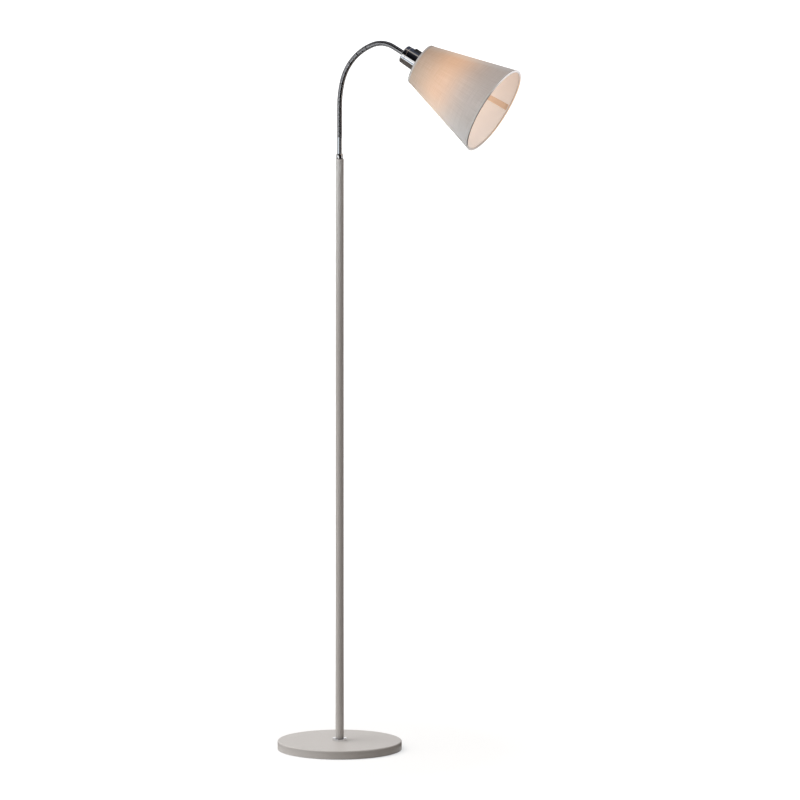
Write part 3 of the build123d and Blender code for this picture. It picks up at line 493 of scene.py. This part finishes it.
FINISHES = {
    "greige_paint": powder_coat(),
    "bright_chrome": chrome(),
    "cast_iron": cast_iron(),
    "pad_foam": foam(),
    "black_rubber": moulded("black_rubber_bush", (0.012, 0.012, 0.012), (0.03, 0.03, 0.03), 0.6),
    "zinc_steel": plated("zinc_steel", (0.42, 0.43, 0.45), (0.58, 0.58, 0.56), 0.28),
    "white_wire": moulded("white_coated_wire", (0.72, 0.71, 0.69), (0.80, 0.79, 0.77), 0.3, 500.0),
    "flex_sheath": moulded("flex_sheath", (0.55, 0.54, 0.52), (0.62, 0.61, 0.59), 0.45, 700.0),
    "black_plastic": moulded(
        "black_moulding", (0.006, 0.006, 0.007), (0.012, 0.012, 0.013), 0.30, 1200.0, 0.01 * MM,
    ),
    "holder_plastic": moulded("white_moulding", (0.70, 0.69, 0.66), (0.78, 0.77, 0.74), 0.35, 800.0),
    "brass": plated("brass", (0.62, 0.43, 0.17), (0.78, 0.57, 0.27), 0.22),
    "cap_metal": plated("nickel_cap", (0.52, 0.50, 0.46), (0.66, 0.64, 0.60), 0.26),
    "opal_glass": opal_glass(),
    "light_stick": light_stick(),
    "shade_cloth": shade_cloth(),
    "shade_lining": shade_lining(),
    "seam_tape": seam_tape(),
}
RIM_TAPE = rim_tape()
COIL_STEEL = coil_steel()

CARRIED = {
    "greige_paint": ["base_cover", "pole_lower", "pole_middle", "pole_upper"],
    "cast_iron": ["base_weight"],
    "black_rubber": ["inlet_grommet"],
    "bright_chrome": [
        "foot_flange", "neck_collar", "neck_foot_ferrule", "neck_head_ferrule",
        "cup_rear_cap", "cup_sleeve",
    ],
    "zinc_steel": [
        "base_washer", "base_nut", "base_stud", "pole_foot_bush", "pole_joiner_lower",
        "pole_joiner_upper", "pole_top_bush", "neck_lock_nut", "rocker_pin",
    ],
    "white_wire": ["shade_carrier", "shade_bottom_ring"],
    "black_plastic": ["switch_body", "rocker_bezel", "rocker"],
    "holder_plastic": ["lampholder_body", "shade_nut"],
    "brass": ["lampholder_shell", "centre_contact", "terminal_screws"],
    "cap_metal": ["bulb_cap", "bulb_contact"],
    "opal_glass": ["bulb_glass"],
    "light_stick": ["bulb_filament"],
}


def paint_carried():
    """Gives every solid that is kept from the frame its finish."""
    for finish, nodes in CARRIED.items():
        for node in nodes:
            mesh = frame["nodes"][node].data
            mesh.materials.clear()
            mesh.materials.append(FINISHES[finish])


# ---- mesh making ----
def piece(name, points, faces, finish):
    """A smooth mesh object with one finish."""
    mesh = bpy.data.meshes.new(name)
    mesh.from_pydata([tuple(point) for point in points], [], faces)
    mesh.materials.append(finish)
    made = bmesh.new()
    made.from_mesh(mesh)
    bmesh.ops.recalc_face_normals(made, faces=made.faces)
    made.to_mesh(mesh)
    made.free()
    for polygon in mesh.polygons:
        polygon.use_smooth = True
    obj = bpy.data.objects.new(name, mesh)
    bpy.context.scene.collection.objects.link(obj)
    return obj


def carry_mark(obj, name, values):
    """Lets a mesh carry a number at each point, for its finish."""
    mark = obj.data.attributes.new(name, "FLOAT", "POINT")
    mark.data.foreach_set("value", values)


def rings_to_faces(rings, around, closed):
    """Quads between rings of points. The last ring is joined to the first, or else both ends are capped."""
    faces = []
    for i in range(rings if closed else rings - 1):
        a = i * around
        b = (i + 1) % rings * around
        for j in range(around):
            k = (j + 1) % around
            faces.append((a + j, a + k, b + k, b + j))
    if not closed:
        faces.append(tuple(range(around)))
        faces.append(tuple(range((rings - 1) * around, rings * around)))
    return faces


# ---- the neck and the flex ----
def neck_ring(along, radii):
    """Points round the centre line, one for each radius."""
    centre, angle = neck_place(along)
    out = Vector((math.cos(angle), 0.0, -math.sin(angle)))
    side = Vector((0.0, 1.0, 0.0))
    ring = []
    for j, radius in enumerate(radii):
        turn = FULL_TURN * j / len(radii)
        ring.append(centre + (out * math.cos(turn) + side * math.sin(turn)) * radius)
    return ring


def groove_at(along, turn):
    """Depth of the winding's groove, from 0 on a crest to 1 in a valley."""
    phase = (along / COIL_PITCH - turn / FULL_TURN) % 1.0 - 0.5
    height = math.sqrt(1 - (2 * phase * WIRE_SHOWN) ** 2)
    lowest = math.sqrt(1 - WIRE_SHOWN ** 2)
    return 1 - (height - lowest) / (1 - lowest)


def coil_rows(low, high):
    """Rows of the wire's own surface, which have no radius of their own."""
    steps = max(4, round((high - low) / COIL_PITCH * COIL_ROWS_PER_TURN))
    return [(along, None) for along in spread(low, high, steps)]


def plain_rows(low, high, radius, steps=12):
    """Rows of a plain bore or spigot."""
    return [(along, radius) for along in spread(low, high, steps)]


def winding(name, rows):
    """A closed piece of the neck from rows that run up its outside and down its bore."""
    points = []
    groove_shades = []
    for along, radius in rows:
        if radius is None:
            row = [groove_at(along, FULL_TURN * j / COIL_SIDES) for j in range(COIL_SIDES)]
            points += neck_ring(along, [NECK_RADIUS - COIL_DEPTH * depth for depth in row])
        else:
            # bores and spigots carry painted shade, as dark as deep in a groove
            row = [BORE_PAINTED_SHADE] * COIL_SIDES
            points += neck_ring(along, [radius] * COIL_SIDES)
        groove_shades += row
    obj = piece(name, points, rings_to_faces(len(rows), COIL_SIDES, closed=True), COIL_STEEL)
    # the mark carries the painted shade of the grooves and the bores
    carry_mark(obj, "groove", groove_shades)
    return obj


def split_rows(low, high):
    """Rows of the halves of a stretch that is cut at its joint: one ends in a spigot, one in a socket."""
    middle = low + SPACING / 2
    end = middle - SPLIT_GAP / 2
    tip = middle + SPIGOT_REACH
    lower = coil_rows(low, end) + plain_rows(end, tip, SPIGOT_RADIUS, 3) + plain_rows(tip, low, NECK_BORE)
    start = middle + SPLIT_GAP / 2
    seat = middle + SOCKET_REACH
    upper = coil_rows(start, high) + plain_rows(high, seat, NECK_BORE)
    return lower, upper + plain_rows(seat, start, SOCKET_RADIUS, 3)


def bend_about_joint(obj, k):
    """Bakes a stretch of the neck in place. The centre and reach of a bend about its joint are worked out
    but not used.
    """
    centre, angle = neck_place((k + 0.5) * SPACING)
    reach = Vector((math.sin(angle), 0.0, math.cos(angle))) * BEND_REACH
    centre - reach
    centre + reach
    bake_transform(obj)


def neck_coils():
    """The wound neck: a round wire in close turns, cut at some joints and left whole and unbent across the
    others.
    """
    for k in range(NECK_JOINTS):
        name = f"wound_neck_{k + 1:02d}"
        low = k * SPACING
        high = low + SPACING
        below = f"neck_link_{k:02d}" if k else "neck_foot_coil"
        above = f"neck_link_{k + 1:02d}" if k < NECK_JOINTS - 1 else "neck_head_coil"
        if k in SPLIT_JOINTS:
            lower, upper = split_rows(low, high)
            for letter, rows, body, node in (("a", lower, k, below), ("b", upper, k + 1, above)):
                obj = winding(name + letter, rows)
                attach(obj, BODIES[body])
                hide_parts(node)
        else:
            obj = winding(name, coil_rows(low, high) + plain_rows(high, low, NECK_BORE))
            bend_about_joint(obj, k)
            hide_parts(below, above)


FLEX_ROUTE = [                   # x and z in millimetres, from the base's bush to the neck
    (-121.2, 7.2), (-108, 7.2), (-94, 7.2), (-76, 5.6), (-58, 4.1), (-36, 4.1), (-9, 4.1), (0, 4.1),
    (0, 10), (0, 60), (0, 600), (0, 1150), (0, 1201.3),
]


def flex_in_pole():
    """The flex from the base's inlet up the pole to the neck."""
    curve = bpy.data.curves.new("flex_in_pole", "CURVE")
    curve.dimensions = "3D"
    curve.bevel_depth = FLEX_RADIUS
    curve.bevel_resolution = 4
    curve.use_fill_caps = True
    spline = curve.splines.new("NURBS")
    spline.points.add(len(FLEX_ROUTE) - 1)
    for point, (x, z) in zip(spline.points, FLEX_ROUTE):
        point.co = (x * MM, 0.0, z * MM, 1.0)
    spline.order_u = 3
    spline.use_endpoint_u = True
    spline.resolution_u = 12
    curve.materials.append(FINISHES["flex_sheath"])
    obj = bpy.data.objects.new("flex_in_pole", curve)
    bpy.context.scene.collection.objects.link(obj)
    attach(obj, "root")
    return obj


def flex_stretch(name, low, high):
    """A stretch of the flex inside the neck."""
    steps = 16
    points = []
    for along in spread(low, high, steps):
        points += neck_ring(along, [FLEX_RADIUS] * FLEX_SIDES)
    faces = rings_to_faces(steps + 1, FLEX_SIDES, closed=False)
    return piece(name, points, faces, FINISHES["flex_sheath"])


def flex_in_neck():
    """The flex through the neck and into the cup, cut where the neck is cut."""
    made = []
    for k in range(NECK_JOINTS):
        name = f"flex_{k + 1:02d}"
        low = k * SPACING
        high = (k + 1) * SPACING
        if k in SPLIT_JOINTS:
            middle = (low + high) / 2
            halves = (("a", low, middle - FLEX_CUT / 2, k), ("b", middle + FLEX_CUT / 2, high, k + 1))
            for letter, start, end, body in halves:
                obj = flex_stretch(name + letter, start, end)
                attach(obj, BODIES[body])
                made.append(obj)
        else:
            obj = flex_stretch(name, low, high)
            bend_about_joint(obj, k)
            made.append(obj)
    end = NECK_LENGTH + SHOULDER_LENGTH + FLEX_IN_HEAD
    obj = flex_stretch(f"flex_{NECK_JOINTS + 1:02d}", NECK_LENGTH, end)
    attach(obj, "head")
    return made + [obj]


def flex():
    """The mains flex inside the base, the pole, the neck and the cup."""
    for obj in [flex_in_pole()] + flex_in_neck():
        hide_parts("mains_flex")


# ---- the shade ----
def shade_point(radius, turn, along):
    """A point in the head's own frame, along counted from the shade's top rim."""
    return Vector((radius * math.cos(turn), radius * math.sin(turn), SHADE_START + along))


def lay_flat(obj, outline, count, step):
    """Writes a revolved piece's flat pattern: (length round it, length along its outline) in metres."""
    rows = len(outline)
    lengths = [0.0]
    for (r0, z0), (r1, z1) in zip(outline, outline[1:]):
        lengths.append(lengths[-1] + math.hypot(r1 - r0, z1 - z0))
    middle = sum(radius for radius, _ in outline) / rows
    flat = obj.data.uv_layers.new(name="flat")
    for polygon in obj.data.polygons:
        corners = [divmod(obj.data.loops[loop].vertex_index, rows) for loop in polygon.loop_indices]
        columns = [column for column, _ in corners]
        over_the_start = max(columns) - min(columns) > 1
        for loop, (column, row) in zip(polygon.loop_indices, corners):
            if over_the_start and column == 0:
                column = count
            flat.data[loop].uv = (column * step * middle, lengths[row])


def revolved(name, outline, finish, around=SHADE_SIDES, arc=(0.0, FULL_TURN), marks=None):
    """Turns a closed outline of (radius, along) about the head's axis."""
    start, end = arc
    step = (end - start) / around
    whole = end - start >= FULL_TURN
    count = around if whole else around + 1
    points = []
    for j in range(count):
        points += [shade_point(radius, start + step * j, along) for radius, along in outline]
    rows = len(outline)
    faces = []
    for j in range(around):
        a = j * rows
        b = (j + 1) % count * rows
        for i in range(rows):
            k = (i + 1) % rows
            faces.append((a + i, a + k, b + k, b + i))
    if not whole:
        faces.append(tuple(range(rows)))
        faces.append(tuple(range((count - 1) * rows, count * rows)))
    obj = piece(name, points, faces, finish)
    lay_flat(obj, outline, count, step)
    if marks:
        carry_mark(obj, "fold", marks * count)
    obj.data.transform(HEAD)
    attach(obj, "head")
    return obj


def rim_radius(along, inset=0.0):
    """The cone's radius at a length from the top rim, an inset further in."""
    return SHADE_TOP + SLOPE * along - inset


def layer_outline(start, end, inset, thickness):
    """Closed outline of a conical layer."""
    rows = 28
    out = [(rim_radius(along, inset), along) for along in spread(start, end, rows)]
    back = [(rim_radius(along, inset + thickness), along) for along in spread(end, start, rows)]
    return out + back


def fold_outline(rim, inward, inside):
    """A tape folded round a rim: a leg on the cloth, a rounded fold and a lip over the ring wire."""
    gap = LAYER_GAP
    thick = TRIM_THICKNESS
    bevel = 0.4 * MM
    easing = 0.3 * MM            # the fold starts this far before the rim
    near = rim - inward * TRIM_WIDTH
    start = rim - inward * easing
    past = rim + inward * (thick + gap)
    inner = inside + RING_WIRE + 2 * gap
    outside = [(rim_radius(near, -gap - thick * 0.35), near)]
    outside += [(rim_radius(a, -gap - thick), a) for a in spread(near + inward * bevel, start, 6)]
    fold = []
    for i in range(1, 6):
        turn = math.pi / 2 * i / 6
        reach = inward * (thick + gap + easing) * math.sin(turn)
        fold.append((rim_radius(rim, -gap - thick * math.cos(turn)), start + reach))
    lip = [(rim_radius(past, inset), past) for inset in spread(0.0, inner, 6)]
    wire_side = rim + inward * gap
    back = [(rim_radius(wire_side, inset), wire_side) for inset in spread(inner, -gap * 0.5, 6)]
    leg = [(rim_radius(a, -gap), a) for a in spread(rim - inward * bevel, near, 5)]
    marks = [0.1 + 0.4 * i / len(outside) for i in range(len(outside))]
    marks += [0.62] * len(fold) + spread(0.62, 1.0, 6) + [0.95] * len(back) + [0.2] * len(leg)
    return outside + fold + lip + back + leg, marks


def shade_layer(node, name, slot, outline, finish=None, **ways):
    """One layer of the shade, in the place of its node and in its slot's finish, unless one is given."""
    obj = revolved(name, outline, finish or FINISHES[slot], **ways)
    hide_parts(node)
    return obj


def shade():
    """Cloth, lining, seam strip and folded rims of the shade."""
    inset = CLOTH + LAYER_GAP
    inside = inset + CLOTH + LAYER_GAP
    outline = layer_outline(0.0, SHADE_LENGTH, 0.0, CLOTH)
    cloth = shade_layer("shade_fabric", "shade_linen_cone", "shade_cloth", outline)
    outline = layer_outline(0.0, SHADE_LENGTH, inset, CLOTH)
    others = [shade_layer("shade_liner", "shade_lining_cone", "shade_lining", outline)]
    half = SEAM_WIDTH / (SHADE_TOP + SHADE_BOTTOM)
    ends = RING_WIRE + 1.0 * MM
    outline = layer_outline(ends, SHADE_LENGTH - ends, inset + CLOTH + SEAM_GAP, CLOTH)
    arc = (SEAM_ANGLE - half, SEAM_ANGLE + half)
    others.append(shade_layer("shade_seam", "shade_lap_strip", "seam_tape", outline, around=8, arc=arc))
    for rim, inward, node in ((0.0, -1, "shade_top_trim"), (SHADE_LENGTH, 1, "shade_bottom_trim")):
        outline, marks = fold_outline(rim, inward, inside)
        name = node.replace("trim", "rim_tape")
        others.append(shade_layer(node, name, "shade_cloth", outline, finish=RIM_TAPE, marks=marks))


# ---- the foot pad ----
def foot_pad():
    """Thin foam disc under the base, rounded at its rim."""
    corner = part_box("base_pad")[1]
    radius = corner.x
    thick = corner.z
    around = 128
    middle = 4.0 * MM            # radius of the small face that closes each side
    flat = spread(20.0 * MM, radius - 0.5 * MM, 10)
    outline = [(middle, 0.0)] + [(r, 0.0) for r in flat]
    outline.append((radius - 0.15 * MM, 0.15 * MM))
    outline.append((radius, thick * 0.5))
    outline.append((radius - 0.15 * MM, thick - 0.1 * MM))
    outline += [(r, thick) for r in reversed(flat)] + [(middle, thick)]
    points = []
    for r, z in outline:
        for j in range(around):
            turn = FULL_TURN * j / around
            points.append(Vector((r * math.cos(turn), r * math.sin(turn), z)))
    faces = rings_to_faces(len(outline), around, closed=False)
    pad = piece("foot_pad_foam", points, faces, FINISHES["pad_foam"])
    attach(pad, "root")
    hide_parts("base_pad")


# ---- the camera ----
VIEW_AZIMUTH = math.radians(23.2)
VIEW_ELEVATION = math.radians(10.1)
CAMERA_DISTANCE = 12.0
IMAGE_SIZE = 800
PIXEL = 1.932 * MM               # the real width of one pixel of the photograph
POLE_COLUMN = 339.65             # pixel column of the pole's axis
BASE_ROW = 740.2                 # pixel row of the middle of the base's top


def camera():
    """A distant camera, as near to parallel as the photograph's."""
    towards = Vector((
        math.sin(VIEW_AZIMUTH) * math.cos(VIEW_ELEVATION),
        -math.cos(VIEW_AZIMUTH) * math.cos(VIEW_ELEVATION),
        math.sin(VIEW_ELEVATION),
    ))
    right = Vector((math.cos(VIEW_AZIMUTH), math.sin(VIEW_AZIMUTH), 0.0))
    up = towards.cross(right)
    data = bpy.data.cameras.new("portrait_camera")
    data.type = "ORTHO"
    data.ortho_scale = IMAGE_SIZE * PIXEL
    data.clip_end = 60.0
    obj = bpy.data.objects.new("portrait_camera", data)
    bpy.context.scene.collection.objects.link(obj)
    obj.rotation_mode = "QUATERNION"
    obj.rotation_quaternion = towards.to_track_quat("Z", "Y")
    obj.location = Vector((0.0, 0.0, BASE_HEIGHT)) + towards * CAMERA_DISTANCE
    obj.location += right * (IMAGE_SIZE / 2 - POLE_COLUMN) * PIXEL
    obj.location += up * (BASE_ROW - IMAGE_SIZE / 2) * PIXEL
    bpy.context.scene.camera = obj


# ---- the lamps of the studio ----
def hang_lamp(data, direction, aim=(0.0, 0.0, 0.0), distance=0.0):
    """Places a studio lamp that shines on a point from a direction. Bright metal doesn't mirror it."""
    obj = bpy.data.objects.new(data.name, data)
    bpy.context.scene.collection.objects.link(obj)
    heading = Vector(direction).normalized()
    obj.rotation_mode = "QUATERNION"
    obj.rotation_quaternion = heading.to_track_quat("Z", "Y")
    obj.location = Vector(aim) + heading * distance
    obj.visible_glossy = False


def key_left():
    """Large soft light from the left."""
    data = bpy.data.lights.new("key_left", "AREA")
    data.shape = "RECTANGLE"
    data.size = 2.3
    data.size_y = 2.2
    data.energy = 20.0
    data.color = (0.96, 0.985, 1.0)
    hang_lamp(data, (-0.82, -0.72, 0.12), (0.0, 0.0, 0.85), 2.5)


def overhead():
    """Soft light from above, the same at every height."""
    data = bpy.data.lights.new("overhead", "SUN")
    data.energy = 2.65
    data.angle = math.radians(60.0)
    data.color = (1.0, 0.99, 0.98)
    hang_lamp(data, (-0.35, -0.2, 1.0))


def narrow_fill():
    """Soft spot from low at the left that reaches only the lamp's head."""
    data = bpy.data.lights.new("narrow_fill", "SPOT")
    data.energy = 150.0
    data.color = (0.80, 0.93, 1.0)
    data.spot_size = math.radians(17.0)
    data.spot_blend = 1.0
    data.shadow_soft_size = 0.25
    hang_lamp(data, (-0.54, -0.77, -0.44), (0.23, 0.0, 1.31), 2.0)


# ---- the floor, the world and what bright metal mirrors ----
def stage_sheet(name, shades, corners):
    """A flat sheet of the studio."""
    mesh = bpy.data.meshes.new(name)
    mesh.from_pydata(corners, [], [(0, 1, 2, 3)])
    mesh.materials.append(shades)
    obj = bpy.data.objects.new(name, mesh)
    bpy.context.scene.collection.objects.link(obj)
    return obj


def level_corners(across, deep, height):
    """Corners of a level rectangle."""
    return [(across[i], deep[j], height) for i, j in ((0, 0), (1, 0), (1, 1), (0, 1))]


def seen_rays(f):
    """1 for camera, glossy and transmission rays."""
    kinds = ("Is Camera Ray", "Is Glossy Ray", "Is Transmission Ray")
    rays = [f.node("ShaderNodeLightPath", output=kind) for kind in kinds]
    return (rays[0] + rays[1] + rays[2]).clipped()


def floor():
    """A pale floor that keeps the lamp's shadow and runs out into white."""
    f = Finish("pale_floor", Roughness=0.9, Specular_IOR_Level=0.0, Emission_Strength=1.0)
    f.wear("Base Color", (0.42, 0.40, 0.385))
    reach = f.node("ShaderNodeVectorMath", {"operation": "LENGTH"}, {0: f.place()}, "Value")
    far = reach.rise(0.3, 1.6)
    f.wear("Emission Color", f.mix(seen_rays(f) * (0.60 + 0.4 * far), BLACK, (1.0, 1.03, 1.05)))
    span = (-30.0, 30.0)
    stage_sheet("floor", f.material, level_corners(span, span, 0.0))


def world():
    """White behind the lamp for the eye and for reflections, plain soft light for the rest."""
    studio = bpy.data.worlds.new("studio")
    bpy.context.scene.world = studio
    f = Nodes(studio)
    soft = f.node("ShaderNodeBackground", None, {"Color": (1.0, 0.90, 0.82), "Strength": 0.14})
    white = f.node("ShaderNodeBackground", None, {"Color": (1.0, 1.0, 1.0), "Strength": 1.0})
    both = f.node("ShaderNodeMixShader", None, {0: seen_rays(f), 1: soft, 2: white})
    f.show("ShaderNodeOutputWorld", both.socket)


def card_finish(name):
    """A finish that reflects nothing and shows only its own even tone."""
    return Finish(name, Base_Color=BLACK, Roughness=1.0, Specular_IOR_Level=0.0, Emission_Strength=1.0)


def mirrored_card(name, f, corners):
    """A card that is seen only in bright metal."""
    card = stage_sheet(name, f.material, corners)
    card.visible_camera = False
    card.visible_diffuse = False
    card.visible_shadow = False
    card.visible_transmission = False


def floor_card(name, across, deep, tone):
    """A card that lies on the floor."""
    f = card_finish(name)
    f.wear("Emission Color", tone)
    mirrored_card(name, f, level_corners(across, deep, 10 * MM))


def upright_card(name, azimuth, distance, width, heights, tone):
    """A card that stands beside the lamp. Its azimuth is in degrees from the front."""
    f = card_finish(name)
    f.wear("Emission Color", tone)
    turn = math.radians(azimuth)
    middle = Vector((math.sin(turn), -math.cos(turn), 0.0)) * distance
    side = Vector((math.cos(turn), math.sin(turn), 0.0)) * (width / 2)
    corners = []
    for way, height in ((-1, heights[0]), (1, heights[0]), (1, heights[1]), (-1, heights[1])):
        corner = middle + side * way
        corners.append((corner.x, corner.y, height))
    mirrored_card(name, f, corners)


def dark_ceiling():
    """The unlit ceiling of the studio with one lit strip."""
    f = card_finish("dark_ceiling")
    across = f.axis(f.place(), "Y").rise(-3.0, 1.0)
    stops = [
        (0.0, (0.004, 0.004, 0.005)), (0.45, (0.012, 0.012, 0.016)), (0.62, (0.035, 0.037, 0.048)),
        (0.65, (0.40, 0.37, 0.34)), (0.74, (0.40, 0.37, 0.34)), (0.78, (0.06, 0.068, 0.095)),
        (1.0, (0.06, 0.068, 0.095)),
    ]
    f.wear("Emission Color", f.node("ShaderNodeValToRGB", {"stops": stops}, {"Fac": across}))
    span = (-7.0, 7.0)
    height = 3.3
    mirrored_card("dark_ceiling", f, level_corners(span, span, height))


def cards():
    """The tones that the chrome shows: each is a card or the ceiling."""
    floor_card("brown_floor_left", (-1.75, -0.75), (-2.2, 2.2), (0.12, 0.105, 0.095))
    floor_card("grey_floor_left", (-3.4, -1.75), (-2.2, 2.2), (0.34, 0.32, 0.30))
    floor_card("dark_floor_right", (-0.25, 2.8), (-2.8, 0.3), (0.02, 0.02, 0.022))
    floor_card("brown_floor_right", (-0.25, 2.8), (0.3, 2.6), (0.26, 0.225, 0.20))
    upright_card("grey_card", -100.0, 2.6, 4.4, (0.0, 2.6), (0.56, 0.55, 0.54))
    upright_card("blue_card", -37.0, 2.6, 2.0, (0.35, 0.98), (0.50, 0.58, 0.68))
    upright_card("beige_card", 122.0, 2.8, 3.6, (0.0, 2.6), (0.50, 0.46, 0.43))
    upright_card("dark_card", 40.0, 2.6, 4.6, (0.0, 3.4), (0.004, 0.004, 0.005))
    dark_ceiling()


bpy.context.scene.view_settings.view_transform = "Standard"
paint_carried()
neck_coils()
flex()
shade()
foot_pad()
camera()
world()
floor()
key_left()
overhead()
narrow_fill()
cards()
